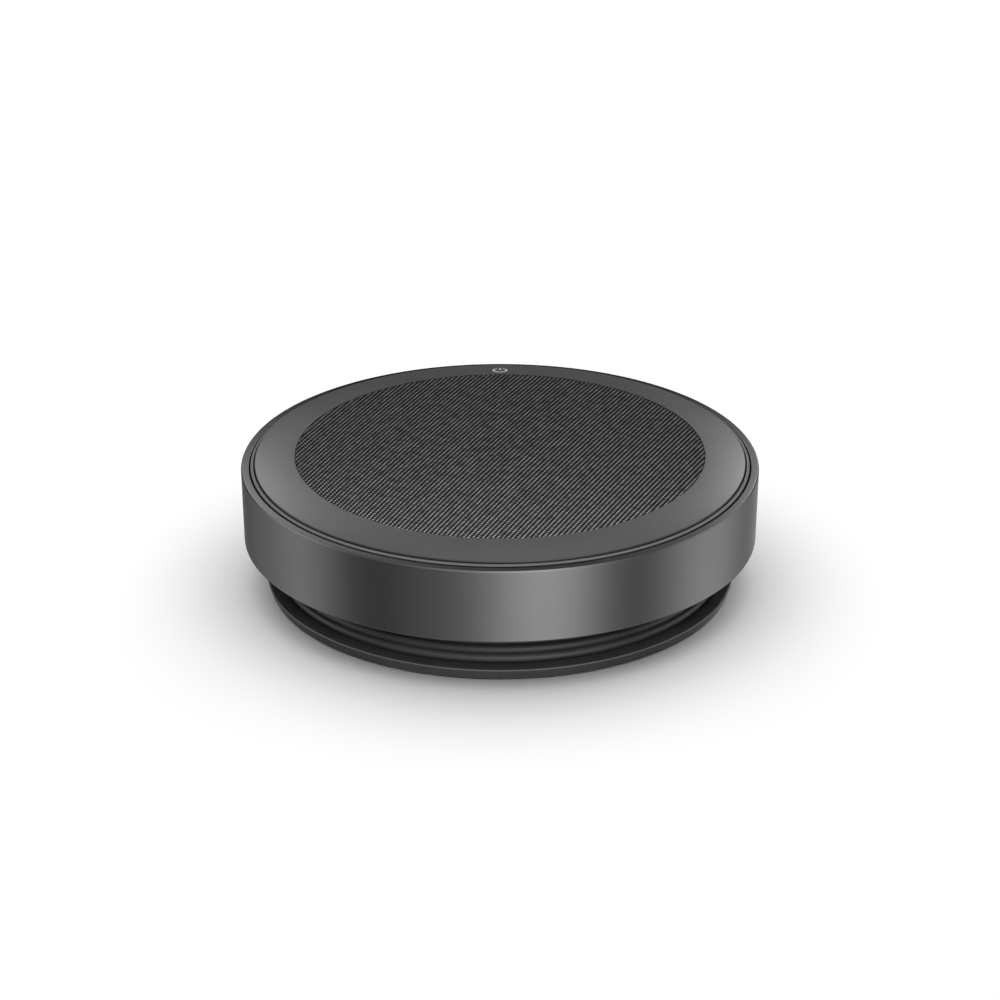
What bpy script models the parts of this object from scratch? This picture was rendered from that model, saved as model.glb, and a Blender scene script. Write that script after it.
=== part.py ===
"""Portable conference speakerphone: a round puck with its USB cable wound on the neck under the body.

Every size is in millimetres and every angle in degrees until a helper turns them into metres and radians.
The base stands on Z = 0, the axis of the puck is Z, and the power symbol is at the back, towards +Y.
"""

import math

import bmesh
import bpy
from mathutils import Matrix, Vector

MM = 0.001

# Driving dimensions
BODY_RADIUS = 66.25
HEIGHT = 36.5
GAP = 0.3

# Radii of the rings in the top face
GRILLE_RADIUS = 52.2
TOUCH_INNER = 52.5
TOUCH_OUTER = 62.8
LIGHT_INNER = 63.1
LIGHT_OUTER = 63.85
BAND_INNER = 64.25

# Levels
BAND_TOP = 32.9
BAND_BOTTOM = 13.4
SHELF_UNDER = 13.8
SHELF_TOP = 15.2
CHASSIS_UNDER = 26.6
CHASSIS_TOP = 28.2
BOARD_UNDER = 28.5
BOARD_TOP = 29.3

# Neck and foot
NECK_RADIUS = 53.9
NECK_INNER = 52.5
FLOOR_UNDER = 3.3
FLOOR_TOP = 4.7
FOOT_RADIUS = 60.1
FOOT_TOP = 3.0
FOOT_UNDER = 0.3

# Screws: radius of their circle from the axis
FOOT_SCREW_CIRCLE = 43.5
CHASSIS_SCREW_CIRCLE = 55.6
SPEAKER_SCREW_CIRCLE = 34.6
SCREW_COUNT = 4
CHASSIS_SCREW_START = 45.0
PILOT_RADIUS = 1.25
SPEAKER_PILOT_RADIUS = 1.15

# Power symbol, on the touch ring
ICON_RADIUS_FROM_AXIS = 56.4
ICON_RING_OUTER = 2.0
ICON_STROKE = 0.45
ICON_GAP_ANGLE = 50.0
ICON_BAR_START = 0.3
ICON_BAR_END = 2.2
ICON_DEPTH = 1.75
ICON_BASE_RADIUS = 2.25

# Cable
CORD_RADIUS = 1.2
COIL_RADIUS = 55.8
COIL_PITCH = 2.5
FIRST_TURN = 4.35
COIL_STEP_ANGLE = 13.0
GLAND_ANGLE = 100.0
GLAND_FROM_AXIS = 58.6
GLAND_TIP = 11.2
TAIL_START_ANGLE = 1110.0
STEP_START = 446.0
STEP_END = 472.0

# Plug, parked at the back
PLUG_ANGLE = 70.0
PLUG_FROM_AXIS = 55.5
PLUG_LEVEL = 10.8
PLUG_REAR = -14.3
PLUG_GRIP = (11.0, 22.0, 4.6)
PLUG_SHELL = (8.25, 6.65, 2.4)
PLUG_SHELL_WALL = 0.3
CRADLE_BACK = 48.4
CRADLE_HALF_LENGTH = 15.9

# Facets
RING_STEPS = 48
INNER_STEPS = 28
SMALL_STEPS = 10
SHARP = 32.0


def clear_scene():
    for old in list(bpy.data.objects):
        bpy.data.objects.remove(old, do_unlink=True)


def material(name, colour, roughness, metallic=0.0):
    """The Principled material of this name, made once."""
    found = bpy.data.materials.get(name)
    if found:
        return found
    made = bpy.data.materials.new(name)
    made.use_nodes = True
    made.diffuse_color = (*colour, 1.0)
    shader = made.node_tree.nodes["Principled BSDF"]
    shader.inputs["Base Color"].default_value = (*colour, 1.0)
    shader.inputs["Roughness"].default_value = roughness
    shader.inputs["Metallic"].default_value = metallic
    return made


def polar(radius, angle, level=0.0):
    """A point in millimetres from its distance to the axis, its angle and its level."""
    turn = math.radians(angle)
    return Vector((radius * math.cos(turn), radius * math.sin(turn), level))


def new_object(name, bm, stuff):
    """Turns a bmesh in metres into a named object with smooth shading and one material."""
    bmesh.ops.recalc_face_normals(bm, faces=bm.faces)
    mesh = bpy.data.meshes.new(name)
    bm.to_mesh(mesh)
    bm.free()
    mesh.materials.append(stuff)
    mesh.shade_smooth()
    mesh.set_sharp_from_angle(angle=math.radians(SHARP))
    made = bpy.data.objects.new(name, mesh)
    bpy.context.scene.collection.objects.link(made)
    return made


def turned_mesh(profile, steps):
    """A closed outline of (radius, level) points spun about Z."""
    bm = bmesh.new()
    points = [bm.verts.new((radius * MM, 0.0, level * MM)) for radius, level in profile]
    edges = [bm.edges.new(pair) for pair in zip(points, points[1:] + points[:1])]
    on_axis = [e for e in edges if max(abs(v.co.x) for v in e.verts) < 1e-9]
    bmesh.ops.delete(bm, geom=on_axis, context="EDGES_FACES")
    bmesh.ops.spin(
        bm,
        geom=list(bm.verts) + list(bm.edges),
        cent=(0.0, 0.0, 0.0),
        axis=(0.0, 0.0, 1.0),
        angle=math.tau,
        steps=steps,
        use_merge=True,
    )
    bmesh.ops.remove_doubles(bm, verts=bm.verts, dist=1e-6)
    return bm


def turned(name, profile, stuff, steps=RING_STEPS):
    return new_object(name, turned_mesh(profile, steps), stuff)


def slab(name, outline, bottom, top, stuff):
    """A flat outline of (x, y) points, extruded from one level to another."""
    bm = bmesh.new()
    face = bm.faces.new([bm.verts.new((x * MM, y * MM, bottom * MM)) for x, y in outline])
    raised = bmesh.ops.extrude_face_region(bm, geom=[face])["geom"]
    moved = [item for item in raised if isinstance(item, bmesh.types.BMVert)]
    bmesh.ops.translate(bm, verts=moved, vec=(0.0, 0.0, (top - bottom) * MM))
    return new_object(name, bm, stuff)


def block(name, low, high, stuff, bevel=0.0):
    """A box between two corners, with its edges rounded where a bevel is given."""
    low, high = Vector(low), Vector(high)
    bm = bmesh.new()
    bmesh.ops.create_cube(bm, size=1.0)
    bmesh.ops.scale(bm, verts=bm.verts, vec=(high - low) * MM)
    bmesh.ops.translate(bm, verts=bm.verts, vec=(high + low) / 2 * MM)
    if bevel:
        bmesh.ops.bevel(
            bm, geom=list(bm.edges), offset=bevel * MM, segments=2, profile=0.5, affect="EDGES"
        )
    return new_object(name, bm, stuff)


def cylinder(name, radius, bottom, top, stuff, steps=SMALL_STEPS):
    return turned(name, [(0, top), (radius, top), (radius, bottom), (0, bottom)], stuff, steps)


def place(obj, radius, angle, level=0.0):
    """Puts an object that was made at the origin on its circle, turned to face outwards."""
    obj.location = polar(radius, angle, level) * MM
    obj.rotation_euler.z = math.radians(angle)
    return obj


def around(count, start=0.0):
    return [start + 360.0 * i / count for i in range(count)]


def helper(obj):
    """A shape that only cuts or joins others."""
    obj.hide_render = True
    obj.display_type = "WIRE"
    return obj


def combine(target, others, operation="DIFFERENCE"):
    for other in others:
        modifier = target.modifiers.new(f"{operation.lower()}_{other.name}", "BOOLEAN")
        modifier.operation = operation
        modifier.solver = "EXACT"
        modifier.object = helper(other)


def joined(name, objects, stuff):
    """One helper mesh holding several separate closed shapes."""
    bm = bmesh.new()
    for obj in objects:
        placed = Matrix.LocRotScale(obj.location, obj.rotation_euler, obj.scale)
        part = obj.data.copy()
        part.transform(placed)
        bm.from_mesh(part)
        bpy.data.objects.remove(obj, do_unlink=True)
    return new_object(name, bm, stuff)


def drilled(target, name, radius, circle, bottom, top, start=0.0):
    """Cuts a ring of round holes."""
    stuff = target.data.materials[0]
    pins = []
    for index, angle in enumerate(around(SCREW_COUNT, start)):
        pin = cylinder(f"{name}_{index}", radius, bottom, top, stuff)
        pins.append(place(pin, circle, angle))
    combine(target, [joined(name, pins, stuff)])


def fabric_top(radius):
    """Level of the domed grille cover at this distance from the axis."""
    return HEIGHT - 1.1 * (radius / GRILLE_RADIUS) ** 2


def touch_top(radius):
    """Level of the touch ring, which falls away faster towards its rim."""
    out = radius - 52.4
    return 35.38 - 0.105 * out - 0.0046 * out**2


# Housing


def outer_band():
    satin = material("satin_metal", (0.17, 0.175, 0.18), 0.32, 0.9)
    profile = [
        (BAND_INNER, BAND_TOP + 0.2),
        (BODY_RADIUS - 0.25, BAND_TOP + 0.05),
        (BODY_RADIUS, BAND_TOP - 0.2),
        (BODY_RADIUS - 0.5, BAND_BOTTOM + 0.25),
        (BODY_RADIUS - 0.75, BAND_BOTTOM),
        (BAND_INNER, BAND_BOTTOM),
    ]
    turned("outer_band", profile, satin)


def light_ring():
    diffuser = material("light_diffuser", (0.62, 0.64, 0.66), 0.45)
    profile = [
        (LIGHT_INNER, 33.34),
        (LIGHT_OUTER, 33.06),
        (LIGHT_OUTER, BOARD_TOP + 0.9),
        (62.9, BOARD_TOP + 0.9),
        (62.9, BOARD_TOP + 1.6),
        (LIGHT_INNER, BOARD_TOP + 1.6),
    ]
    turned("light_ring", profile, diffuser)


def touch_ring():
    """The ring with the hidden keys, open where the power symbol shines through."""
    plastic = material("touch_plastic", (0.055, 0.056, 0.058), 0.38)
    under = 1.3
    top = [(radius, touch_top(radius)) for radius in (TOUCH_INNER, 55.9, 59.3, 62.3)]
    rim = [(TOUCH_OUTER, 33.58), (TOUCH_OUTER, 31.5), (61.7, 31.5)]
    inside = [(radius, touch_top(radius) - under) for radius in (61.7, 57.2, 53.7)]
    hook = [(53.7, 32.2), (TOUCH_INNER, 32.2)]
    ring = turned("touch_ring", top + rim + inside + hook, plastic)
    combine(ring, [icon_strokes("icon_slots", 0.06, 0.6, -ICON_DEPTH)])


def icon_frame():
    """Place and tilt of the power symbol on the sloping ring."""
    slope = touch_top(ICON_RADIUS_FROM_AXIS + 0.5) - touch_top(ICON_RADIUS_FROM_AXIS - 0.5)
    level = touch_top(ICON_RADIUS_FROM_AXIS)
    return Vector((0.0, ICON_RADIUS_FROM_AXIS, level)) * MM, math.atan(slope)


def on_icon(obj):
    obj.location, obj.rotation_euler.x = icon_frame()
    return obj


def icon_strokes(name, spare, top, bottom):
    """The open ring and the bar of the symbol, grown by a little spare width."""
    plastic = material("power_mark", (0.55, 0.56, 0.58), 0.5)
    outer = ICON_RING_OUTER + spare
    inner = ICON_RING_OUTER - ICON_STROKE - spare
    opening = ICON_GAP_ANGLE / 2 - math.degrees(spare / inner)
    sweep = [90 + opening + (360 - 2 * opening) * i / 18 for i in range(19)]
    arc = [polar(outer, angle).xy for angle in sweep]
    arc += [polar(inner, angle).xy for angle in reversed(sweep)]
    half = ICON_STROKE / 2 + spare
    low, high = ICON_BAR_START - spare, ICON_BAR_END + spare
    bar = [(-half, low), (half, low), (half, high), (-half, high)]
    parts = [slab(f"{name}_{i}", shape, bottom, top, plastic) for i, shape in enumerate((arc, bar))]
    return on_icon(joined(name, parts, plastic))


def power_icon():
    """A clear moulding under the ring, whose raised strokes end flush with the surface."""
    plastic = material("power_mark", (0.55, 0.56, 0.58), 0.5)
    icon = on_icon(cylinder("power_icon", ICON_BASE_RADIUS, -ICON_DEPTH - 0.55, -ICON_DEPTH, plastic, 20))
    combine(icon, [icon_strokes("icon_ribs", 0.0, -0.03, -ICON_DEPTH - 0.2)], "UNION")


def touch_sensor():
    film = material("sensor_film", (0.35, 0.16, 0.03), 0.4)
    profile = [(54.0, 33.5), (61.2, 32.2), (61.2, 31.85), (54.0, 33.15)]
    sensor = turned("touch_sensor", profile, film, 40)
    window = on_icon(cylinder("sensor_window", 3.3, -4.0, 1.0, film, 16))
    combine(sensor, [window])


def grille_fabric():
    cloth = material("grille_cloth", (0.06, 0.061, 0.063), 0.9)
    radii = (0.0, 28.0, GRILLE_RADIUS - 0.4)
    top = [(radius, fabric_top(radius)) for radius in radii]
    edge = [(GRILLE_RADIUS, 35.15), (GRILLE_RADIUS, 33.4), (GRILLE_RADIUS - 0.45, 33.4)]
    under = [(radius, fabric_top(radius) - 0.5) for radius in reversed(radii)]
    turned("grille_fabric", top + edge + under, cloth)


def grille_plate():
    """A domed plate with hexagonal openings in front of the loudspeaker."""
    plastic = material("inner_plastic", (0.03, 0.03, 0.032), 0.6)
    radii = (0.0, 28.0, 51.4)
    top = [(radius, fabric_top(radius) - 0.8) for radius in radii]
    under = [(radius, fabric_top(radius) - 2.0) for radius in reversed(radii)]
    plate = turned("grille_plate", top + under, plastic, 32)
    pitch = 13.0
    rows = 3
    cutters = []
    for row in range(-rows, rows + 1):
        across = 2 * rows + 1 - abs(row)
        for column in range(across):
            x = (column - (across - 1) / 2) * pitch
            y = row * pitch * math.sqrt(3) / 2
            hole = cylinder(f"hole_{row}_{column}", 5.0, 30.0, 38.0, plastic, 6)
            hole.location = Vector((x, y, 0.0)) * MM
            hole.rotation_euler.z = math.radians(30)
            cutters.append(hole)
    combine(plate, [joined("grille_holes", cutters, plastic)])


def upper_chassis():
    plastic = material("inner_plastic", (0.03, 0.03, 0.032), 0.6)
    profile = [
        (30.2, 29.7),
        (38.0, 29.7),
        (38.0, CHASSIS_TOP),
        (50.2, CHASSIS_TOP),
        (50.2, 33.0),
        (51.5, 33.0),
        (51.5, CHASSIS_TOP),
        (62.2, CHASSIS_TOP),
        (62.2, CHASSIS_UNDER),
        (30.2, CHASSIS_UNDER),
    ]
    chassis = turned("upper_chassis", profile, plastic, 40)
    drilled(chassis, "chassis_holes", PILOT_RADIUS, CHASSIS_SCREW_CIRCLE, 25, 30, CHASSIS_SCREW_START)
    drilled(chassis, "speaker_pilots", SPEAKER_PILOT_RADIUS, SPEAKER_SCREW_CIRCLE, 25, 31)


def lower_shell():
    """Outer wall, shelf, neck and floor in one moulding, with its screw bosses."""
    plastic = material("shell_plastic", (0.028, 0.028, 0.03), 0.55)
    profile = [
        (62.6, 27.7),
        (63.9, 27.7),
        (63.9, SHELF_UNDER),
        (NECK_RADIUS, SHELF_UNDER),
        (NECK_RADIUS, FLOOR_UNDER),
        (0.0, FLOOR_UNDER),
        (0.0, FLOOR_TOP),
        (NECK_INNER, FLOOR_TOP),
        (NECK_INNER, SHELF_TOP),
        (53.0, 16.3),
        (54.0, 16.3),
        (54.2, SHELF_TOP),
        (62.6, SHELF_TOP),
    ]
    shell = turned("lower_shell", profile, plastic)
    bosses = []
    for index, angle in enumerate(around(SCREW_COUNT)):
        boss = cylinder(f"foot_boss_{index}", 2.7, 4.4, 9.0, plastic, 12)
        bosses.append(place(boss, FOOT_SCREW_CIRCLE, angle))
    for index, angle in enumerate(around(SCREW_COUNT, CHASSIS_SCREW_START)):
        boss = cylinder(f"chassis_boss_{index}", 2.4, 14.6, CHASSIS_UNDER - GAP, plastic, 12)
        bosses.append(place(boss, CHASSIS_SCREW_CIRCLE, angle))
    combine(shell, [joined("shell_bosses", bosses, plastic)], "UNION")
    drilled(shell, "foot_pilots", PILOT_RADIUS, FOOT_SCREW_CIRCLE, 2.5, 8.4)
    drilled(
        shell, "chassis_pilots", PILOT_RADIUS, CHASSIS_SCREW_CIRCLE, 19.5, 27, CHASSIS_SCREW_START
    )
    exit_hole = cylinder("gland_hole", 2.5, 12.0, 16.0, plastic, 16)
    place(exit_hole, GLAND_FROM_AXIS, GLAND_ANGLE)
    half = CRADLE_HALF_LENGTH + GAP
    window = block("plug_window", (CRADLE_BACK, -half, 6.8), (58.0, half, 13.65), plastic)
    window.rotation_euler.z = math.radians(PLUG_ANGLE)
    combine(shell, [exit_hole, window])


def shell_seal():
    rubber = material("seal_rubber", (0.015, 0.015, 0.015), 0.8)
    turned("shell_seal", [(62.8, 27.9), (62.8, 28.3), (63.7, 28.3), (63.7, 27.9)], rubber, 40)


def foot_plate():
    plastic = material("foot_plastic", (0.04, 0.041, 0.043), 0.45)
    profile = [
        (0.0, FOOT_TOP),
        (FOOT_RADIUS - 0.25, FOOT_TOP),
        (FOOT_RADIUS, FOOT_TOP - 0.2),
        (FOOT_RADIUS - 0.85, FOOT_UNDER),
        (57.9, FOOT_UNDER),
        (57.9, 1.5),
        (47.2, 1.5),
        (47.2, FOOT_UNDER),
        (40.0, FOOT_UNDER),
        (39.6, 0.8),
        (0.0, 0.8),
    ]
    plate = turned("foot_plate", profile, plastic)
    drilled(plate, "foot_holes", PILOT_RADIUS, FOOT_SCREW_CIRCLE, 0.0, 4.0)
    drilled(plate, "foot_counterbores", 2.4, FOOT_SCREW_CIRCLE, 0.0, 1.8)


def rubber_foot():
    rubber = material("foot_rubber", (0.02, 0.02, 0.02), 0.85)
    profile = [(47.5, 1.2), (57.6, 1.2), (57.4, 0.0), (47.7, 0.0)]
    turned("rubber_foot", profile, rubber)


def screw(name, head_radius, shank, levels, circle, angle):
    """A screw from the end of its head, past its seat, to its tip, pointing up or down."""
    steel = material("screw_steel", (0.45, 0.45, 0.46), 0.35, 1.0)
    head_end, seat, tip = levels
    taper = math.copysign(0.5, seat - tip)
    head = [(0, head_end), (head_radius, head_end), (head_radius, seat)]
    thread = [(shank, seat), (shank, tip + taper), (0, tip)]
    place(turned(name, head + thread, steel, SMALL_STEPS), circle, angle)


def screws():
    for index, angle in enumerate(around(SCREW_COUNT), 1):
        screw(f"foot_screw_{index}", 2.0, 1.0, (0.5, 1.5, 8.0), FOOT_SCREW_CIRCLE, angle)
        screw(f"speaker_screw_{index}", 1.7, 0.9, (32.9, 31.95, 27.0), SPEAKER_SCREW_CIRCLE, angle)
    for index, angle in enumerate(around(SCREW_COUNT, CHASSIS_SCREW_START), 1):
        screw(f"chassis_screw_{index}", 1.9, 1.0, (29.5, 28.45, 20.0), CHASSIS_SCREW_CIRCLE, angle)


# Electronics


def led_board():
    """Ring board, with a light under every fourth facet of the light ring."""
    board = material("circuit_board", (0.02, 0.09, 0.04), 0.5)
    inner, outer = 62.9, 63.7
    profile = [
        (58.6, BOARD_UNDER),
        (63.9, BOARD_UNDER),
        (63.9, BOARD_TOP),
        (outer, BOARD_TOP),
        (inner, BOARD_TOP),
        (58.6, BOARD_TOP),
    ]
    bm = turned_mesh(profile, RING_STEPS)
    bm.normal_update()
    lights = []
    for face in bm.faces:
        centre = face.calc_center_median() / MM
        facet = math.floor(math.degrees(math.atan2(centre.y, centre.x)) % 360 / 360 * RING_STEPS)
        on_strip = inner < centre.xy.length < outer and abs(centre.z - BOARD_TOP) < 0.01
        if on_strip and facet % 4 == 0:
            lights.append(face)
    raised = bmesh.ops.extrude_face_region(bm, geom=lights)["geom"]
    corners = [item for item in raised if isinstance(item, bmesh.types.BMVert)]
    bmesh.ops.delete(bm, geom=lights, context="FACES_ONLY")
    bmesh.ops.translate(bm, verts=corners, vec=(0.0, 0.0, 0.6 * MM))
    new_object("led_board", bm, board)


def microphones():
    steel = material("can_steel", (0.6, 0.6, 0.6), 0.3, 1.0)
    rubber = material("seal_rubber", (0.015, 0.015, 0.015), 0.8)
    seal = [(0.6, 31.25), (1.9, 31.25), (1.9, 30.65), (0.6, 30.65)]
    for index, angle in enumerate(around(SCREW_COUNT, CHASSIS_SCREW_START), 1):
        low, high = (-1.3, -1.75, BOARD_TOP + 0.15), (1.3, 1.75, BOARD_TOP + 1.15)
        place(block(f"microphone_{index}", low, high, steel), 60.3, angle)
        place(turned(f"mic_gasket_{index}", seal, rubber, 12), 60.3, angle)


def main_pcb():
    """Half-ring board behind the loudspeaker chamber, notched around the chassis bosses."""
    board = material("circuit_board", (0.02, 0.09, 0.04), 0.5)
    sweep = [-8 + 196 * i / 22 for i in range(23)]
    outline = [polar(54.6, angle).xy for angle in sweep]
    outline += [polar(41.0, angle).xy for angle in reversed(sweep)]
    pcb = slab("main_pcb", outline, 16.6, 18.0, board)
    notches = []
    for index, angle in enumerate(around(SCREW_COUNT, CHASSIS_SCREW_START)):
        notch = cylinder(f"notch_{index}", 2.8, 15.0, 20.0, board, 12)
        notches.append(place(notch, CHASSIS_SCREW_CIRCLE, angle))
    combine(pcb, [joined("boss_notches", notches, board)])


def board_parts():
    steel = material("can_steel", (0.6, 0.6, 0.6), 0.3, 1.0)
    white = material("header_nylon", (0.7, 0.69, 0.63), 0.5)
    ceramic = material("antenna_ceramic", (0.55, 0.6, 0.58), 0.4)
    place(block("shield_can", (-4.5, -9.0, 18.3), (4.5, 9.0, 20.8), steel, 0.4), 47.5, 90)
    place(block("cable_header", (-2.5, -4.0, 18.3), (2.5, 4.0, 22.3), white, 0.3), 48.0, 117)
    place(block("radio_antenna", (-1.5, -5.0, 18.3), (1.5, 5.0, 19.5), ceramic, 0.2), 50.5, 22)


def battery():
    foil = material("battery_foil", (0.32, 0.33, 0.35), 0.35, 0.6)
    plastic = material("inner_plastic", (0.03, 0.03, 0.032), 0.6)
    block("battery_pack", (-25.0, -54.2, 17.8), (25.0, -42.2, 26.0), foil, 1.2)
    low, high = (-26.5, -55.6, 16.6), (26.5, -40.8, 20.0)
    tray = block("battery_tray", low, high, plastic)
    hollow = block("tray_hollow", (-25.4, -54.6, 17.5), (25.4, -41.8, 21.0), plastic)
    combine(tray, [hollow])


# Loudspeaker


def speaker_basket():
    """Steel frame of the driver, with six windows in its conical wall."""
    steel = material("basket_steel", (0.05, 0.05, 0.052), 0.45, 0.6)
    profile = [
        (28.2, 31.7),
        (36.5, 31.7),
        (36.5, 30.7),
        (29.4, 30.7),
        (19.2, 18.6),
        (19.2, 16.6),
        (9.0, 16.6),
        (9.0, 17.4),
        (16.2, 17.4),
        (16.2, 19.3),
        (18.3, 19.3),
        (28.2, 30.9),
    ]
    basket = turned("speaker_basket", profile, steel, INNER_STEPS)
    windows = []
    for index, angle in enumerate(around(6, 30.0)):
        opening = block(f"window_{index}", (17.5, -8.0, 20.8), (33.0, 8.0, 28.4), steel)
        opening.rotation_euler.z = math.radians(angle)
        windows.append(opening)
    combine(basket, [joined("basket_windows", windows, steel)])
    drilled(basket, "basket_holes", SPEAKER_PILOT_RADIUS, SPEAKER_SCREW_CIRCLE, 30, 33)


def speaker_gasket():
    foam = material("seal_foam", (0.02, 0.02, 0.02), 0.95)
    profile = [(30.6, 29.95), (30.6, 30.45), (32.8, 30.45), (32.8, 29.95)]
    turned("speaker_gasket", profile, foam, INNER_STEPS)


def speaker_surround():
    """Half roll between the cone and the basket."""
    rubber = material("surround_rubber", (0.012, 0.012, 0.012), 0.55)
    thick = 0.4
    middle, level, reach = 26.4, 31.9, 1.5
    roll = [(middle - reach * math.cos(t), level + reach * math.sin(t)) for t in (0.5, 1.57, 2.64)]
    top = [(23.2, 31.6), (24.7, 31.6)] + roll + [(32.2, 32.4)]
    under = [(radius, level - thick) for radius, level in reversed(top)]
    turned("speaker_surround", top + under, rubber, INNER_STEPS)


def diaphragm(parent):
    """The three pieces that move as one, on the axis of the loudspeaker."""
    paper = material("cone_paper", (0.03, 0.03, 0.03), 0.75)
    copper = material("coil_copper", (0.55, 0.25, 0.12), 0.35, 0.9)
    top = [(24.4, 30.95), (16.0, 25.6), (7.1, 22.1)]
    under = [(7.1, 21.5), (16.0, 25.0), (24.4, 30.4)]
    cone = turned("speaker_cone", top + under, paper, INNER_STEPS)
    dome = [(0, 25.6), (4.5, 24.9), (8.2, 23.3), (8.2, 22.85), (4.3, 24.4), (0, 25.1)]
    cap = turned("dust_cap", dome, paper, 24)
    wound = [(6.2, 22.3), (6.6, 22.3), (6.6, 17.3), (6.85, 17.3), (6.85, 12.4), (6.2, 12.4)]
    coil = turned("voice_coil", wound, copper, 24)
    for piece in (cone, cap, coil):
        piece.parent = parent


def speaker_spider():
    """Corrugated cloth that centres the coil."""
    cloth = material("spider_cloth", (0.5, 0.33, 0.12), 0.9)
    top = [(7.1, 18.6), (9.8, 19.9), (12.5, 20.5), (15.2, 19.9), (17.9, 19.95)]
    under = [(radius, level - 0.35) for radius, level in reversed(top)]
    turned("speaker_spider", top + under, cloth, 24)


def motor():
    iron = material("motor_iron", (0.4, 0.4, 0.41), 0.35, 1.0)
    ferrite = material("ferrite", (0.04, 0.04, 0.042), 0.6)
    plate = [(7.3, 16.3), (16.0, 16.3), (16.0, 14.0), (7.3, 14.0)]
    turned("magnet_top_plate", plate, iron, INNER_STEPS)
    turned("magnet", [(8.2, 13.75), (17.5, 13.75), (17.5, 9.7), (8.2, 9.7)], ferrite, INNER_STEPS)
    pole = [(0, 16.3), (5.75, 16.3), (5.75, 9.45), (16.5, 9.45), (16.5, 7.6), (0, 7.6)]
    turned("yoke", pole, iron, INNER_STEPS)


def speaker_chamber():
    plastic = material("inner_plastic", (0.03, 0.03, 0.032), 0.6)
    foam = material("seal_foam", (0.02, 0.02, 0.02), 0.95)
    cup = [(37.7, 25.5), (39.0, 25.5), (39.0, 5.0), (0, 5.0), (0, 6.2), (37.7, 6.2)]
    turned("speaker_chamber", cup, plastic, 40)
    ring = [(37.5, 25.75), (37.5, 26.35), (39.2, 26.35), (39.2, 25.75)]
    turned("chamber_seal", ring, foam, 40)


# Cable and plug


def eased(share):
    share = min(max(share, 0.0), 1.0)
    return share * share * (3 - 2 * share)


def coil_point(angle):
    """Centre of the wound cable at this angle, counted on through its turns."""
    steps = sum(
        eased((angle - STEP_START - 360 * turn) / (STEP_END - STEP_START)) for turn in range(2)
    )
    slide_in = eased((angle - GLAND_ANGLE - 12) / 20)
    radius = GLAND_FROM_AXIS - 0.2 + (COIL_RADIUS - GLAND_FROM_AXIS + 0.2) * slide_in
    return polar(radius, angle, FIRST_TURN + COIL_PITCH * steps)


def tangent(angle):
    return polar(1.0, angle + 90)


def curve_through(start, start_pull, end, end_pull, count):
    """Points of a cubic Bezier curve, given the pull at each end."""
    made = []
    for i in range(count + 1):
        t = i / count
        made.append(
            start * (1 - t) ** 3
            + (start + start_pull) * 3 * t * (1 - t) ** 2
            + (end - end_pull) * 3 * t**2 * (1 - t)
            + end * t**3
        )
    return made


def cord(name, points):
    """A closed round tube through points in millimetres."""
    rubber = material("cable_jacket", (0.018, 0.018, 0.018), 0.6)
    curve = bpy.data.curves.new(name, "CURVE")
    curve.dimensions = "3D"
    curve.bevel_depth = CORD_RADIUS * MM
    curve.bevel_resolution = 2
    curve.use_fill_caps = True
    spline = curve.splines.new("POLY")
    spline.points.add(len(points) - 1)
    for slot, point in zip(spline.points, points):
        slot.co = (*(point * MM), 1.0)
    curve.materials.append(rubber)
    bpy.context.scene.collection.objects.link(bpy.data.objects.new(name, curve))


def usb_cable():
    """Out of the gland, down past the two upper turns, then nearly three turns round the neck."""
    first_angle = GLAND_ANGLE + 10
    exit_point = polar(GLAND_FROM_AXIS, GLAND_ANGLE, GLAND_TIP - GAP)
    landing = coil_point(first_angle)
    points = curve_through(exit_point, Vector((0, 0, -5.0)), landing, tangent(first_angle) * 6.0, 5)
    count = round((TAIL_START_ANGLE - first_angle) / COIL_STEP_ANGLE)
    step = (TAIL_START_ANGLE - first_angle) / count
    points += [coil_point(first_angle + step * i) for i in range(1, count + 1)]
    cord("usb_cable", points)


def cable_tail():
    """From the last turn to the back of the parked plug."""
    start = coil_point(TAIL_START_ANGLE) + tangent(TAIL_START_ANGLE) * GAP
    along = tangent(PLUG_ANGLE)
    end = polar(PLUG_FROM_AXIS, PLUG_ANGLE, PLUG_LEVEL) + along * (PLUG_REAR - GAP)
    points = curve_through(start, tangent(TAIL_START_ANGLE) * 9.0, end, along * 9.0, 6)
    cord("cable_tail", points)


def cable_gland():
    rubber = material("cable_jacket", (0.018, 0.018, 0.018), 0.6)
    profile = [
        (0.0, 16.3),
        (3.3, 16.3),
        (3.3, 15.5),
        (2.2, 15.5),
        (2.2, 13.4),
        (2.7, 13.3),
        (1.8, GLAND_TIP),
        (0.0, GLAND_TIP),
    ]
    place(turned("cable_gland", profile, rubber, 16), GLAND_FROM_AXIS, GLAND_ANGLE)


def plug(parent):
    """The grip and its metal shell, seen from an empty whose X points out of the cradle."""
    rubber = material("plug_grip", (0.022, 0.022, 0.023), 0.55)
    steel = material("can_steel", (0.6, 0.6, 0.6), 0.3, 1.0)
    width, length, height = PLUG_GRIP
    low = (-width / 2, PLUG_REAR, -height / 2)
    high = (width / 2, PLUG_REAR + length, height / 2)
    grip = block("plug_body", low, high, rubber, 1.2)
    front = PLUG_REAR + length + GAP
    shell = slab("plug_shell", plug_outline(0.0), front, front + PLUG_SHELL[1], steel)
    bore = slab("plug_bore", plug_outline(PLUG_SHELL_WALL), front + 0.6, front + 9.0, steel)
    for piece in (shell, bore):
        piece.rotation_euler = (math.radians(-90), 0.0, 0.0)
    combine(shell, [bore])
    for piece in (grip, shell, bore):
        piece.parent = parent


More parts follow.
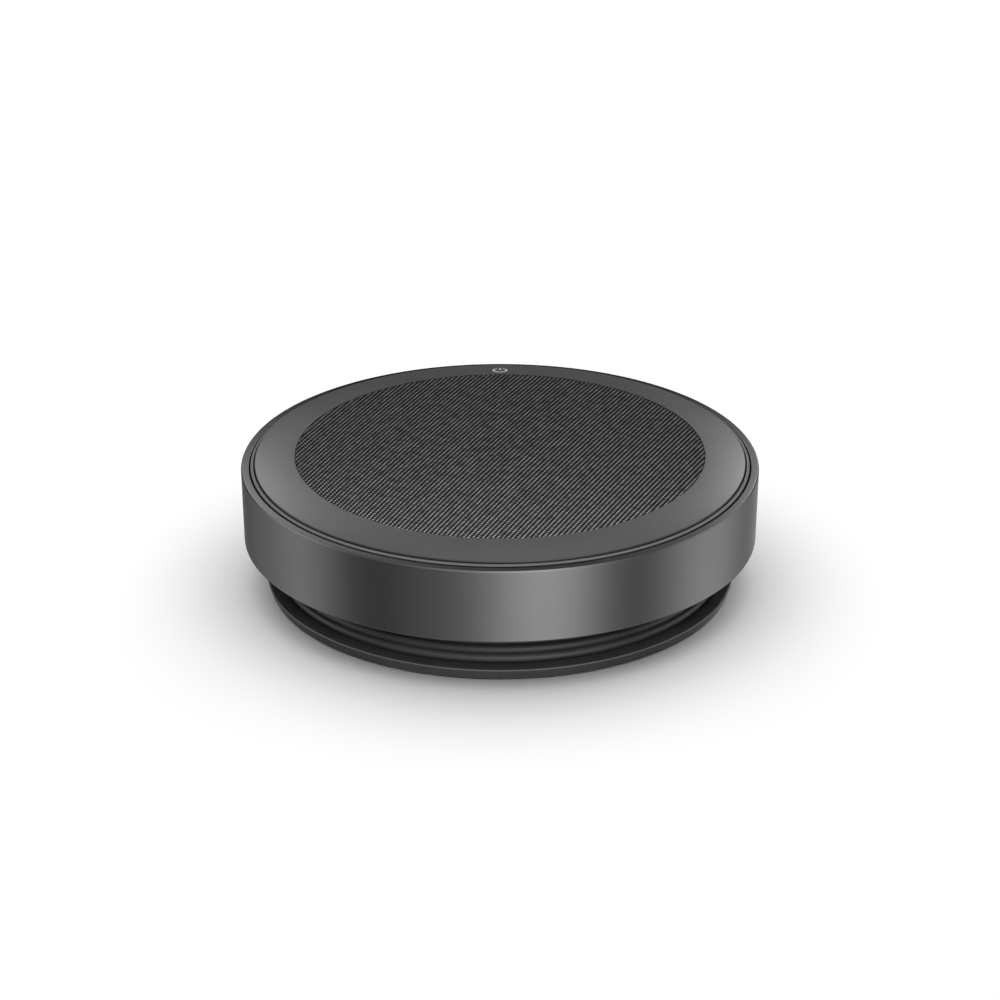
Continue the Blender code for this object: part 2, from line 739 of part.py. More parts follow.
def plug_outline(inset):
    """Rounded section of the plug's metal shell."""
    half_height = PLUG_SHELL[2] / 2 - inset
    flat = (PLUG_SHELL[0] - PLUG_SHELL[2]) / 2
    right = [(flat + half_height * math.cos(t), half_height * math.sin(t)) for t in half_turn()]
    left = [(-x, -y) for x, y in right]
    return right + left


def half_turn():
    return [math.radians(-90 + 36 * i) for i in range(6)]


def plug_cradle():
    """Pocket let into the neck, rounded off flush with it, and roofed inside the neck."""
    plastic = material("cradle_plastic", (0.02, 0.02, 0.021), 0.6)
    half = CRADLE_HALF_LENGTH
    cradle = block("plug_cradle", (CRADLE_BACK, -half, 7.1), (57.0, half, 14.4), plastic)
    hollow = block("cradle_hollow", (49.6, 1.0 - half, 8.2), (60.0, half - 1.0, 13.45), plastic)
    for piece in (cradle, hollow):
        piece.rotation_euler.z = math.radians(PLUG_ANGLE)
    flush, inside = NECK_RADIUS - GAP, NECK_INNER - GAP
    step = [(0, 20), (inside, 20), (inside, 13.4), (flush, 13.4), (flush, 5), (0, 5)]
    combine(cradle, [turned("cradle_trim", step, plastic)], "INTERSECT")
    combine(cradle, [hollow])


def empty(name, location, turn=0.0):
    made = bpy.data.objects.new(name, None)
    made.location = location * MM
    made.rotation_euler.z = math.radians(turn)
    bpy.context.scene.collection.objects.link(made)
    return made


def build():
    clear_scene()
    outer_band()
    light_ring()
    touch_ring()
    power_icon()
    touch_sensor()
    grille_fabric()
    grille_plate()
    upper_chassis()
    lower_shell()
    shell_seal()
    foot_plate()
    rubber_foot()
    screws()
    led_board()
    microphones()
    main_pcb()
    board_parts()
    battery()
    speaker_basket()
    speaker_gasket()
    speaker_surround()
    diaphragm(empty("cone_axis", Vector((0.0, 0.0, 0.0))))
    speaker_spider()
    motor()
    speaker_chamber()
    cable_gland()
    usb_cable()
    cable_tail()
    plug(empty("plug_axis", polar(PLUG_FROM_AXIS, PLUG_ANGLE, PLUG_LEVEL), PLUG_ANGLE))
    plug_cradle()


build()
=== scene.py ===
"""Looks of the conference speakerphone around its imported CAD.

In this order: camera, cord, fine shapes, finishes, floor and light.

Sizes are in millimetres and angles in degrees until a helper turns them into metres and radians.
"""

import math

import bmesh
import bpy
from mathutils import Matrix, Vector


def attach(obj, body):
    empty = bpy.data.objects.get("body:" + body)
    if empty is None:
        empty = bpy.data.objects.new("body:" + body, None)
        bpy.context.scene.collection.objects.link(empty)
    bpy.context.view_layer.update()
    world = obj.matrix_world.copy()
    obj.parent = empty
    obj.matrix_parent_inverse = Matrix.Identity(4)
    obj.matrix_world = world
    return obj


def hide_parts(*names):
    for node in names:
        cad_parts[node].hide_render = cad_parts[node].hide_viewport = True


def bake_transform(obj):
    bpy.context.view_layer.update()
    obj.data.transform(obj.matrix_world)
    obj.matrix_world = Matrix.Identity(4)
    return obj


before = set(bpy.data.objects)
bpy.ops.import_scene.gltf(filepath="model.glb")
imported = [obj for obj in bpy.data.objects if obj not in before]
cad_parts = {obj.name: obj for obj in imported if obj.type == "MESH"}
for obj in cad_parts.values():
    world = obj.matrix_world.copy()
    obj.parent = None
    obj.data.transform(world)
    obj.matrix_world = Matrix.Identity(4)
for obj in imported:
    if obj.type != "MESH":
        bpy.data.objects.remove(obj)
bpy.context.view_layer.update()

MM = 0.001
RING_STEPS = 256
CUT_STEPS = 192
SMALL_STEPS = 48
SHARP = 35.0

# The same dimensions as the CAD
HEIGHT = 36.5
GRILLE_RADIUS = 52.2
COVER_RADIUS = 52.46
TOUCH_INNER = 52.5
TOUCH_OUTER = 62.8
LIGHT_INNER = 63.1
LIGHT_OUTER = 63.85
BAND_INNER = 64.25
BODY_RADIUS = 66.25
BAND_TOP = 32.9
BAND_BOTTOM = 13.4
SHELF_UNDER = 13.8
SHELF_TOP = 15.2
NECK_RADIUS = 53.9
NECK_INNER = 52.5
FLOOR_UNDER = 3.3
FLOOR_TOP = 4.7
FOOT_RADIUS = 60.1
FOOT_TOP = 3.0
FOOT_UNDER = 0.3
FOOT_SCREW_CIRCLE = 43.5
FOOT_SCREW_ANGLES = (0, 90, 180, 270)
ICON_FROM_AXIS = 56.4
ICON_RING_OUTER = 2.0
ICON_STROKE = 0.45
ICON_GAP_ANGLE = 50.0
ICON_BAR = (0.3, 2.2)

# Cable route and plug, as in the CAD
CORD_RADIUS = 1.2
CORD_SIDES = 20
COIL_RADIUS = 55.8
COIL_PITCH = 2.5
FIRST_TURN = 4.35
GLAND_ANGLE = 100.0
GLAND_FROM_AXIS = 58.6
GLAND_TIP = 11.2
TAIL_START_ANGLE = 1110.0
STEP_START = 446.0
STEP_END = 472.0
PLUG_ANGLE = 70.0
PLUG_FROM_AXIS = 55.5
PLUG_LEVEL = 10.8
PLUG_REAR = -14.3
PLUG_GRIP = (11.0, 22.0, 4.6)
PLUG_SHELL = (8.25, 6.65, 2.4)
GAP = 0.3

# The cloth's two sets of ridges: how many per millimetre, along X and along Y
RIB_ACROSS = Vector((0.815, -0.356, 0.0))
RIB_ALONG = Vector((0.464, 0.840, 0.0))
RIB_DEPTH = 0.28
BUMP_DEPTH = 0.24
CLOTH_TURN_IN = 1.2


def polar(radius, angle, level=0.0):
    """A point in millimetres from its distance to the axis, its angle and its level."""
    turn = math.radians(angle)
    return Vector((radius * math.cos(turn), radius * math.sin(turn), level))


# Camera


def camera():
    """The photo's angle, with a long lens at normal distance for a product picture."""
    distance, elevation, focal_length = 1200.0, math.radians(24.31), 167.9
    base, aim = 18.0, 22.2
    data = bpy.data.cameras.new("camera")
    data.lens = focal_length
    data.sensor_width = 36.0
    data.clip_start, data.clip_end = 0.05, 20.0
    made = bpy.data.objects.new("camera", data)
    bpy.context.scene.collection.objects.link(made)
    back = Vector((0.0, -math.cos(elevation), math.sin(elevation)))
    made.location = (back * distance + Vector((0.0, 0.0, base))) * MM
    look = Vector((0.0, 0.0, aim)) * MM - made.location
    made.rotation_mode = "QUATERNION"
    made.rotation_quaternion = look.to_track_quat("-Z", "Y")
    bpy.context.scene.camera = made


# Mesh helpers


def new_object(name, bm, slot, sharp=SHARP):
    """A named object in metres, smooth, with its slot's finish."""
    bmesh.ops.recalc_face_normals(bm, faces=bm.faces)
    mesh = bpy.data.meshes.new(name)
    bm.to_mesh(mesh)
    bm.free()
    mesh.shade_smooth()
    mesh.set_sharp_from_angle(angle=math.radians(sharp))
    mesh.materials.append(FINISHES[slot])
    made = bpy.data.objects.new(name, mesh)
    bpy.context.scene.collection.objects.link(made)
    return made


def settle(obj, node, body="housing"):
    """Lets a piece stand for its CAD node and ride on its body, with even shading on its large faces."""
    weights = obj.modifiers.new("even_shading", "WEIGHTED_NORMAL")
    weights.keep_sharp = True
    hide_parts(node)
    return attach(obj, body)


def filleted(outline, segments=4):
    """Rounds each (radius, level, size) corner of an outline where size isn't 0."""
    made = []
    for i, (x, y, size) in enumerate(outline):
        here = Vector((x, y))
        if not size:
            made.append((x, y))
            continue
        before = Vector(outline[i - 1][:2]) - here
        after = Vector(outline[(i + 1) % len(outline)][:2]) - here
        a = here + before.normalized() * min(size, before.length * 0.49)
        b = here + after.normalized() * min(size, after.length * 0.49)
        for k in range(segments + 1):
            t = k / segments
            made.append(tuple(a * (1 - t) ** 2 + here * 2 * t * (1 - t) + b * t**2))
    return made


def revolved(outline, steps=RING_STEPS, centre=Vector((0.0, 0.0, 0.0))):
    """A closed outline of (radius, level) turned about Z. A radius may be a function of the angle."""
    bm = bmesh.new()
    rings = []
    for radius, level in outline:
        at = radius if callable(radius) else (lambda angle, radius=radius: radius)
        count = 1 if not callable(radius) and radius < 1e-6 else steps
        angles = [360.0 * i / steps for i in range(count)]
        rings.append([bm.verts.new((polar(at(a), a, level) + centre) * MM) for a in angles])
    for low, high in zip(rings, rings[1:] + rings[:1]):
        if len(low) == 1 and len(high) == 1:
            continue
        for i in range(steps):
            j = (i + 1) % steps
            corners = [low[i % len(low)], low[j % len(low)], high[j % len(high)], high[i % len(high)]]
            bm.faces.new(list(dict.fromkeys(corners)))
    return bm


def lofted(sections):
    """A closed body through rings of equal length."""
    bm = bmesh.new()
    rings = [[bm.verts.new(point * MM) for point in ring] for ring in sections]
    for low, high in zip(rings, rings[1:]):
        for i in range(len(low)):
            j = (i + 1) % len(low)
            bm.faces.new((low[i], low[j], high[j], high[i]))
    bm.faces.new(rings[0])
    bm.faces.new(rings[-1])
    return bm


def tube_sections(path, radius, sides):
    """Rings square to a path, each turned as little as possible from the last."""
    ring_axis = (path[1] - path[0]).cross(Vector((0.3, 0.2, 1.0))).normalized()
    sections = []
    for i, point in enumerate(path):
        along = (path[min(i + 1, len(path) - 1)] - path[max(i - 1, 0)]).normalized()
        ring_axis = (ring_axis - along * ring_axis.dot(along)).normalized()
        other = along.cross(ring_axis)
        turns = [math.tau * k / sides for k in range(sides)]
        sections.append([point + (ring_axis * math.cos(t) + other * math.sin(t)) * radius for t in turns])
    return sections


def cut(obj, cutter_mesh):
    """Takes a shape out of a piece, for good."""
    cutter = bpy.data.objects.new("cutter", bpy.data.meshes.new("cutter"))
    bmesh.ops.recalc_face_normals(cutter_mesh, faces=cutter_mesh.faces)
    cutter_mesh.to_mesh(cutter.data)
    cutter_mesh.free()
    bpy.context.scene.collection.objects.link(cutter)
    modifier = obj.modifiers.new("cut", "BOOLEAN")
    modifier.operation = "DIFFERENCE"
    modifier.solver = "EXACT"
    modifier.object = cutter
    bpy.context.view_layer.update()
    result = bpy.data.meshes.new_from_object(obj.evaluated_get(bpy.context.evaluated_depsgraph_get()))
    obj.modifiers.clear()
    obj.data = result
    obj.data.set_sharp_from_angle(angle=math.radians(SHARP))
    bpy.data.objects.remove(cutter)
    return obj


# Finishes


class Finish:
    """One procedural material, built around its Principled shader."""

    def __init__(self, name, metallic=0.0, **fixed):
        self.material = bpy.data.materials.new(name)
        self.material.use_nodes = True
        self.tree = self.material.node_tree
        self.shader = self.tree.nodes["Principled BSDF"]
        self.shader.inputs["Metallic"].default_value = metallic
        for socket, value in fixed.items():
            self.shader.inputs[socket.replace("_", " ")].default_value = value
        self.place = self.node("ShaderNodeTexCoord").outputs["Object"]

    def node(self, kind, inputs=(), **settings):
        made = self.tree.nodes.new(kind)
        for name, value in settings.items():
            setattr(made, name, value)
        for key, value in dict(inputs).items():
            if isinstance(value, bpy.types.NodeSocket):
                self.tree.links.new(value, made.inputs[key])
            else:
                made.inputs[key].default_value = value
        return made

    def maths(self, operation, *values):
        return self.node("ShaderNodeMath", enumerate(values), operation=operation).outputs[0]

    def noise(self, scale, detail=2.0, place=None):
        inputs = {"Vector": place or self.place, "Scale": scale, "Detail": detail}
        return self.node("ShaderNodeTexNoise", inputs).outputs["Fac"]

    def between(self, share, low, high, start=0.3, end=0.7):
        """Turns a 0 to 1 pattern into a range of values."""
        inputs = {"Value": share, 1: start, 2: end, 3: low, 4: high}
        return self.node("ShaderNodeMapRange", inputs).outputs[0]

    def blend(self, share, first, second):
        """Mixes two colours, each a triple or a socket."""
        made = self.node("ShaderNodeMix", {0: share}, data_type="RGBA")
        for key, value in ((6, first), (7, second)):
            if isinstance(value, bpy.types.NodeSocket):
                self.tree.links.new(value, made.inputs[key])
            else:
                made.inputs[key].default_value = (*value, 1.0)
        return made.outputs[2]

    def bump(self, height, depth, under=None):
        """Raises the surface by depth in millimetres where height is 1."""
        inputs = {"Height": height, "Distance": depth * MM, "Strength": 1.0}
        if under:
            inputs["Normal"] = under
        return self.node("ShaderNodeBump", inputs).outputs[0]

    def around(self):
        """The angle about Z in radians, and the distance from the axis and the level in metres."""
        parts = self.node("ShaderNodeSeparateXYZ", {0: self.place}).outputs
        angle = self.maths("ARCTAN2", parts[1], parts[0])
        squares = [self.maths("MULTIPLY", parts[k], parts[k]) for k in (0, 1)]
        out = self.maths("SQRT", self.maths("ADD", *squares))
        return angle, out, parts[2]

    def done(self, colour=None, roughness=None, normal=None):
        for socket, value in (("Base Color", colour), ("Roughness", roughness), ("Normal", normal)):
            if value:
                self.tree.links.new(value, self.shader.inputs[socket])
        return self.material


def tinted(colour, factor):
    """A colour made lighter or darker."""
    return tuple(min(channel * factor, 1.0) for channel in colour)


def plain(slot, colour, roughness, metallic, grain, depth, spread):
    """A moulded, cast or rubbery finish: an uneven tint and a fine grain."""
    finish = Finish(slot + "_finish", metallic)
    mottle = finish.noise(90.0, 4.0)
    fine = finish.noise(1000.0 / grain, 1.5)
    tint = finish.blend(
        finish.between(mottle, 0.0, 1.0), tinted(colour, 1 - spread), tinted(colour, 1 + spread)
    )
    tint = finish.blend(finish.between(fine, 0.0, 0.35), tint, tinted(colour, 1 + 2 * spread))
    rough = finish.maths(
        "ADD",
        finish.between(mottle, roughness - 0.04, roughness + 0.04),
        finish.between(fine, -0.03, 0.03),
    )
    return finish.done(tint, rough, finish.bump(fine, depth))


def satin_metal():
    """Dark anodised metal, blasted, over faint turning lines, paler on its sharp edges as wear and as a
    painted highlight.
    """
    finish = Finish("satin_metal_finish", 1.0)
    per_radian, per_metre = 2.2, 3800.0
    stretch = enumerate(zip(finish.around(), (per_radian, per_metre, per_metre)))
    lines = {key: finish.maths("MULTIPLY", place, scale) for key, (place, scale) in stretch}
    lines = finish.node("ShaderNodeCombineXYZ", lines).outputs[0]
    brushed = finish.noise(1.0, 3.0, lines)
    grain = finish.noise(7000.0, 1.0)
    mottle = finish.noise(60.0, 3.0)
    tint = finish.blend(finish.between(brushed, 0.0, 1.0), (0.145, 0.146, 0.149), (0.153, 0.154, 0.157))
    tint = finish.blend(finish.between(mottle, 0.0, 0.2), tint, (0.135, 0.135, 0.14))
    # Paler on sharp edges: partly edge wear, partly a painted highlight along the edges.
    edge_wear_and_highlight = finish.node("ShaderNodeNewGeometry").outputs["Pointiness"]
    tint = finish.blend(finish.between(edge_wear_and_highlight, 0.0, 0.5, 0.52, 0.6), tint, (0.3, 0.3, 0.31))
    rough = finish.maths(
        "ADD", finish.between(brushed, 0.19, 0.21), finish.between(mottle, -0.01, 0.01)
    )
    return finish.done(tint, rough, finish.bump(brushed, 0.0006, finish.bump(grain, 0.0012)))


def touch_plastic():
    """Fine spark-textured satin plastic."""
    finish = Finish("touch_plastic_finish", 0.0, Specular_IOR_Level=0.38)
    spark = finish.node(
        "ShaderNodeTexVoronoi", {"Vector": finish.place, "Scale": 5200.0}, feature="SMOOTH_F1"
    ).outputs["Distance"]
    mottle = finish.noise(45.0, 4.0)
    fine = finish.noise(3500.0, 2.0)
    uneven = finish.between(mottle, 0.0, 1.0)
    tint = finish.blend(uneven, (0.049, 0.0493, 0.0502), (0.053, 0.0533, 0.0542))
    tint = finish.blend(finish.between(fine, 0.0, 0.5), tint, (0.06, 0.0603, 0.0612))
    rough = finish.maths(
        "ADD", finish.between(mottle, 0.28, 0.31), finish.between(fine, -0.02, 0.02)
    )
    return finish.done(tint, rough, finish.bump(spark, 0.004))


def light_diffuser():
    """Smoked diffusing plastic, painted near black below its top face as painted shade on its flanks."""
    finish = Finish("light_diffuser_finish", 0.0, Specular_IOR_Level=0.15)
    level = finish.around()[2]
    shade_start, shade_end = 33.05 * MM, 32.98 * MM
    mottle = finish.noise(90.0, 4.0)
    fine = finish.noise(9000.0, 1.5)
    uneven = finish.between(mottle, 0.0, 1.0)
    tint = finish.blend(uneven, (0.077, 0.0775, 0.0785), (0.085, 0.0855, 0.0865))
    tint = finish.blend(finish.between(fine, 0.0, 0.3), tint, (0.092, 0.0925, 0.0935))
    # Below its top face the ring is painted near black: painted shade on its flanks.
    painted_flank_shade = finish.between(level, 1.0, 0.0, shade_end, shade_start)
    tint = finish.blend(painted_flank_shade, tint, (0.012, 0.012, 0.0125))
    return finish.done(tint, finish.between(mottle, 0.46, 0.54), finish.bump(fine, 0.006))


def waves(finish, direction, per_mm):
    """A cosine ridge pattern, 0 to 1, along a direction in the plane of the cloth."""
    along = finish.node(
        "ShaderNodeVectorMath",
        {0: finish.place, 1: direction * (per_mm * math.tau / MM)},
        operation="DOT_PRODUCT",
    ).outputs["Value"]
    ridge = finish.maths("COSINE", along)
    return finish.maths("MULTIPLY_ADD", ridge, 0.5, 0.5)


def grille_cloth():
    """Coarse polyester weave: ribs with bumps along them, painted shade in the gaps, and twisted yarn."""
    finish = Finish("grille_cloth_finish", 0.0, Specular_IOR_Level=0.0)
    rib = finish.maths("POWER", waves(finish, RIB_ACROSS, 1.0), 2.0)
    bump = finish.maths("MULTIPLY_ADD", waves(finish, RIB_ALONG, 1.0), 0.85, 0.15)
    twist = waves(finish, RIB_ACROSS * 4.0 + RIB_ALONG * 3.0, 1.0)
    fibre = finish.noise(9000.0, 2.0)
    slack = finish.between(finish.noise(450.0, 2.0), 0.55, 1.3, 0.3, 0.7)
    # Crests get the yarn's tint and the gaps between them near black: painted shade in the weave's
    # hollows.
    crest_vs_painted_gap_shade = finish.maths("MULTIPLY", finish.maths("MULTIPLY", rib, bump), slack)
    tint = finish.blend(crest_vs_painted_gap_shade, (0.0055, 0.0056, 0.006), (0.149, 0.1505, 0.153))
    tint = finish.blend(finish.between(twist, 0.0, 0.25, 0.6, 1.0), tint, (0.012, 0.012, 0.0125))
    rough = finish.between(fibre, 0.78, 0.95)
    return finish.done(tint, rough, finish.bump(twist, 0.03, finish.bump(fibre, 0.015)))


def cable_jacket():
    """Soft black cable jacket, uneven in tint and polish."""
    finish = Finish("cable_jacket_finish", 0.0, Specular_IOR_Level=0.3)
    mottle = finish.noise(120.0, 3.0)
    fine = finish.noise(5000.0, 2.0)
    tint = finish.blend(finish.between(mottle, 0.0, 1.0), (0.032, 0.032, 0.0325), (0.039, 0.039, 0.0395))
    rough = finish.maths("ADD", finish.between(mottle, 0.3, 0.38), finish.between(fine, -0.03, 0.03))
    return finish.done(tint, rough, finish.bump(fine, 0.004))


def foot_plastic():
    """Dark satin plastic, with a pale line along its upper edge as a painted highlight."""
    finish = Finish("foot_plastic_finish", 0.0, Specular_IOR_Level=0.3)
    out, level = finish.around()[1:]
    mottle = finish.noise(90.0, 4.0)
    fine = finish.noise(6000.0, 1.5)
    tint = finish.blend(finish.between(mottle, 0.0, 1.0), (0.030, 0.030, 0.0305), (0.036, 0.036, 0.0365))
    # A pale line along the upper outer edge: a painted highlight, broken up by noise.
    radii = (FOOT_RADIUS - 0.42) * MM, (FOOT_RADIUS - 0.22) * MM
    levels = (FOOT_TOP - 0.34) * MM, (FOOT_TOP - 0.2) * MM
    outer = finish.between(out, 0.0, 1.0, *radii)
    painted_edge_highlight = finish.maths("MULTIPLY", outer, finish.between(level, 0.0, 1.0, *levels))
    painted_edge_highlight = finish.maths("MULTIPLY", painted_edge_highlight, finish.between(finish.noise(700.0, 3.0), 0.7, 1.0))
    tint = finish.blend(painted_edge_highlight, tint, (0.09, 0.09, 0.092))
    rough = finish.maths("ADD", finish.between(mottle, 0.28, 0.34), finish.between(fine, -0.03, 0.03))
    return finish.done(tint, rough, finish.bump(fine, 0.004))


def circuit_board():
    """Green solder mask over copper tracks."""
    finish = Finish("circuit_board_finish", 0.0)
    tracks = finish.node(
        "ShaderNodeTexVoronoi", {"Vector": finish.place, "Scale": 900.0}, distance="MANHATTAN"
    ).outputs["Distance"]
    weave = finish.noise(2500.0, 2.0)
    copper = finish.between(tracks, 0.0, 1.0, 0.3, 0.45)
    tint = finish.blend(copper, (0.012, 0.075, 0.03), (0.02, 0.13, 0.05))
    tint = finish.blend(finish.between(weave, 0.0, 0.3), tint, (0.015, 0.06, 0.03))
    return finish.done(tint, finish.between(weave, 0.35, 0.5), finish.bump(tracks, 0.03))


def coil_copper():
    """Fine enamelled windings, one above another."""
    finish = Finish("coil_copper_finish", 0.9)
    level = finish.around()[2]
    wire_pitch = 0.14 * MM
    windings = finish.maths("SINE", finish.maths("MULTIPLY", level, math.tau / wire_pitch))
    share = finish.maths("MULTIPLY_ADD", windings, 0.5, 0.5)
    # Darker between the windings: painted shade in the hollows between the wires.
    tint = finish.blend(share, (0.3, 0.12, 0.05), (0.62, 0.29, 0.14))
    return finish.done(tint, finish.between(share, 0.5, 0.3), finish.bump(share, 0.05))


def spider_cloth():
    """Varnished cotton, woven square."""
    finish = Finish("spider_cloth_finish", 0.0)
    threads_per_mm = 2.6
    warp = waves(finish, Vector((1.0, 0.0, 0.0)), threads_per_mm)
    weft = waves(finish, Vector((0.0, 1.0, 0.0)), threads_per_mm)
    both = finish.maths("MULTIPLY", warp, weft)
    # Darker between the threads: painted shade in the weave's hollows.
    tint = finish.blend(both, (0.32, 0.2, 0.07), (0.55, 0.38, 0.15))
    tint = finish.blend(finish.between(finish.noise(200.0), 0.0, 0.3), tint, (0.28, 0.17, 0.06))
    return finish.done(tint, finish.between(both, 0.9, 0.7), finish.bump(both, 0.08))


def turned_steel(slot, colour, roughness):
    """Machined or plated steel, a little smudged, with a fine grain."""
    finish = Finish(slot + "_finish", 1.0)
    smudge = finish.noise(400.0, 3.0)
    fine = finish.noise(6000.0, 2.0)
    tint = finish.blend(finish.between(smudge, 0.0, 1.0), tinted(colour, 0.8), colour)
    worn = finish.between(smudge, roughness - 0.06, roughness + 0.08)
    rough = finish.maths("ADD", worn, finish.between(fine, -0.03, 0.03))
    return finish.done(tint, rough, finish.bump(fine, 0.004))


def moulded_finishes():
    """Each slot's colour, roughness, metal, grain in mm, its depth in mm, and unevenness of tint."""
    table = {
        "power_mark": ((0.40, 0.40, 0.41), 0.45, 0.0, 0.12, 0.004, 0.05),
        "sensor_film": ((0.35, 0.16, 0.03), 0.35, 0.0, 0.4, 0.01, 0.12),
        "inner_plastic": ((0.030, 0.030, 0.031), 0.55, 0.0, 0.2, 0.02, 0.12),
        "shell_plastic": ((0.07, 0.07, 0.071), 0.45, 0.0, 0.18, 0.02, 0.12),
        "seal_rubber": ((0.015, 0.015, 0.015), 0.75, 0.0, 0.3, 0.02, 0.25),
        "foot_rubber": ((0.022, 0.022, 0.022), 0.8, 0.0, 0.35, 0.03, 0.25),
        "header_nylon": ((0.68, 0.66, 0.58), 0.5, 0.0, 0.15, 0.01, 0.05),
        "antenna_ceramic": ((0.52, 0.57, 0.55), 0.35, 0.0, 0.1, 0.004, 0.05),
        "battery_foil": ((0.36, 0.37, 0.39), 0.32, 0.7, 1.8, 0.04, 0.08),
        "basket_steel": ((0.05, 0.05, 0.052), 0.42, 0.5, 0.3, 0.015, 0.12),
        "seal_foam": ((0.02, 0.02, 0.02), 0.95, 0.0, 0.4, 0.12, 0.4),
        "surround_rubber": ((0.014, 0.014, 0.014), 0.5, 0.0, 0.2, 0.01, 0.2),
        "cone_paper": ((0.034, 0.033, 0.032), 0.8, 0.0, 0.5, 0.05, 0.3),
        "ferrite": ((0.045, 0.045, 0.048), 0.6, 0.1, 0.25, 0.03, 0.2),
        "plug_grip": ((0.026, 0.026, 0.027), 0.5, 0.0, 0.15, 0.012, 0.12),
        "cradle_plastic": ((0.028, 0.028, 0.029), 0.52, 0.0, 0.2, 0.02, 0.12),
    }
    return {slot: plain(slot, *values) for slot, values in table.items()}


def make_finishes():
    return {
        "satin_metal": satin_metal(),
        "touch_plastic": touch_plastic(),
        "light_diffuser": light_diffuser(),
        "grille_cloth": grille_cloth(),
        "cable_jacket": cable_jacket(),
        "foot_plastic": foot_plastic(),
        "circuit_board": circuit_board(),
        "coil_copper": coil_copper(),
        "spider_cloth": spider_cloth(),
        "screw_steel": turned_steel("screw_steel", (0.34, 0.34, 0.35), 0.32),
        "can_steel": turned_steel("can_steel", (0.62, 0.61, 0.59), 0.28),
        "motor_iron": turned_steel("motor_iron", (0.5, 0.5, 0.51), 0.35),
        **moulded_finishes(),
    }


# Cord


def eased(share):
    """0 to 1, slow at both ends."""
    share = min(max(share, 0.0), 1.0)
    return share * share * (3 - 2 * share)


def coil_point(angle):
    """Centre of the wound cable at this angle, counted on through its turns."""
    steps = sum(
        eased((angle - STEP_START - 360 * turn) / (STEP_END - STEP_START)) for turn in range(2)
    )
    slide_in = eased((angle - GLAND_ANGLE - 12) / 20)
    start_radius = GLAND_FROM_AXIS - 0.2
    radius = start_radius + (COIL_RADIUS - start_radius) * slide_in
    return polar(radius, angle, FIRST_TURN + COIL_PITCH * steps)


def tangent(angle):
    """The direction round the axis at this angle."""
    return polar(1.0, angle + 90)


def curve_through(start, start_pull, end, end_pull, count):
    """Points of a cubic Bezier curve, given the pull at each end."""
    made = []
    for i in range(count + 1):
        t = i / count
        made.append(
            start * (1 - t) ** 3
            + (start + start_pull) * 3 * t * (1 - t) ** 2
            + (end - end_pull) * 3 * t**2 * (1 - t)
            + end * t**3
        )
    return made


def wound_path():
    """Out of the gland, down past the two upper turns, then nearly three turns round the neck."""
    first_angle = GLAND_ANGLE + 10
    exit_point = polar(GLAND_FROM_AXIS, GLAND_ANGLE, GLAND_TIP - GAP)
    landing = coil_point(first_angle)
    points = curve_through(exit_point, Vector((0, 0, -5.0)), landing, tangent(first_angle) * 6.0, 14)
    count = 300
    step = (TAIL_START_ANGLE - first_angle) / count
    return points + [coil_point(first_angle + step * i) for i in range(1, count + 1)]


def tail_path():
    """From the end of the last turn, without a gap, to the back of the parked plug."""
    start = coil_point(TAIL_START_ANGLE)
    along = tangent(PLUG_ANGLE)
    end = polar(PLUG_FROM_AXIS, PLUG_ANGLE, PLUG_LEVEL) + along * (PLUG_REAR - GAP)
    return curve_through(start, tangent(TAIL_START_ANGLE) * 9.0, end, along * 9.0, 24)


def cords():
    """The attached cable, its curved last stretch, the plug and the strain relief."""
    path = wound_path()
    lead = new_object("usb_lead", lofted(tube_sections(path, CORD_RADIUS, CORD_SIDES)), "cable_jacket")
    settle(lead, "usb_cable")
    tail_line = tail_path()
    tube = lofted(tube_sections(tail_line, CORD_RADIUS, CORD_SIDES))
    tail = new_object("usb_lead_tail", tube, "cable_jacket")
    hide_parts("cable_tail")
    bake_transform(tail)
    pieces = [tail, plug_grip(), plug_tip(), strain_relief()]


def from_plug(x, y, z):
    """A point given outwards, towards the tip, and up from the middle of the parked plug."""
    centre = polar(PLUG_FROM_AXIS, PLUG_ANGLE, PLUG_LEVEL)
    return centre + polar(x, PLUG_ANGLE) + tangent(PLUG_ANGLE) * y + Vector((0.0, 0.0, z))


def rounded_section(width, height, y, corner, steps=10):
    """One upright ring of the plug, with round corners."""
    ring = []
    corner = min(corner, width / 2 - 0.01, height / 2 - 0.01)
    for quarter, (sx, sz) in enumerate(((1, 1), (-1, 1), (-1, -1), (1, -1))):
        for k in range(steps + 1):
            t = math.radians(90 * (quarter + k / steps))
            x = sx * (width / 2 - corner) + corner * math.cos(t)
            z = sz * (height / 2 - corner) + corner * math.sin(t)
            ring.append(from_plug(x, y, z))
    return ring


def plug_grip():
    """Overmoulded grip: a collar at the cable, a ribbed waist and a rounded nose."""
    width, length, height = PLUG_GRIP
    # distance from the rear end, and the shares of the full width and height
    stations = [(0.0, 0.42, 0.60), (0.25, 0.50, 0.70), (0.8, 0.62, 0.80), (1.6, 0.80, 0.90)]
    stations += [(2.6, 0.93, 0.97), (3.6, 0.985, 0.995), (4.6, 1.0, 1.0), (6.0, 1.0, 1.0)]
    first_groove, groove_pitch, groove_count = 7.0, 1.3, 6
    groove = ((0.0, 1.0, 1.0), (0.25, 0.97, 0.95), (0.65, 0.97, 0.95), (0.9, 1.0, 1.0))
    for index in range(groove_count):
        start = first_groove + index * groove_pitch
        stations += [(start + y, w, h) for y, w, h in groove]
    stations += [(16.0, 1.0, 1.0), (19.0, 1.0, 1.0), (21.2, 1.0, 1.0)]
    stations += [(21.7, 0.985, 0.97), (21.95, 0.95, 0.90), (length, 0.90, 0.82)]
    sections = [rounded_section(width * w, height * h, PLUG_REAR + y, 1.9) for y, w, h in stations]
    return settle(new_object("usb_plug_grip", lofted(sections), "plug_grip"), "plug_body", "plug")


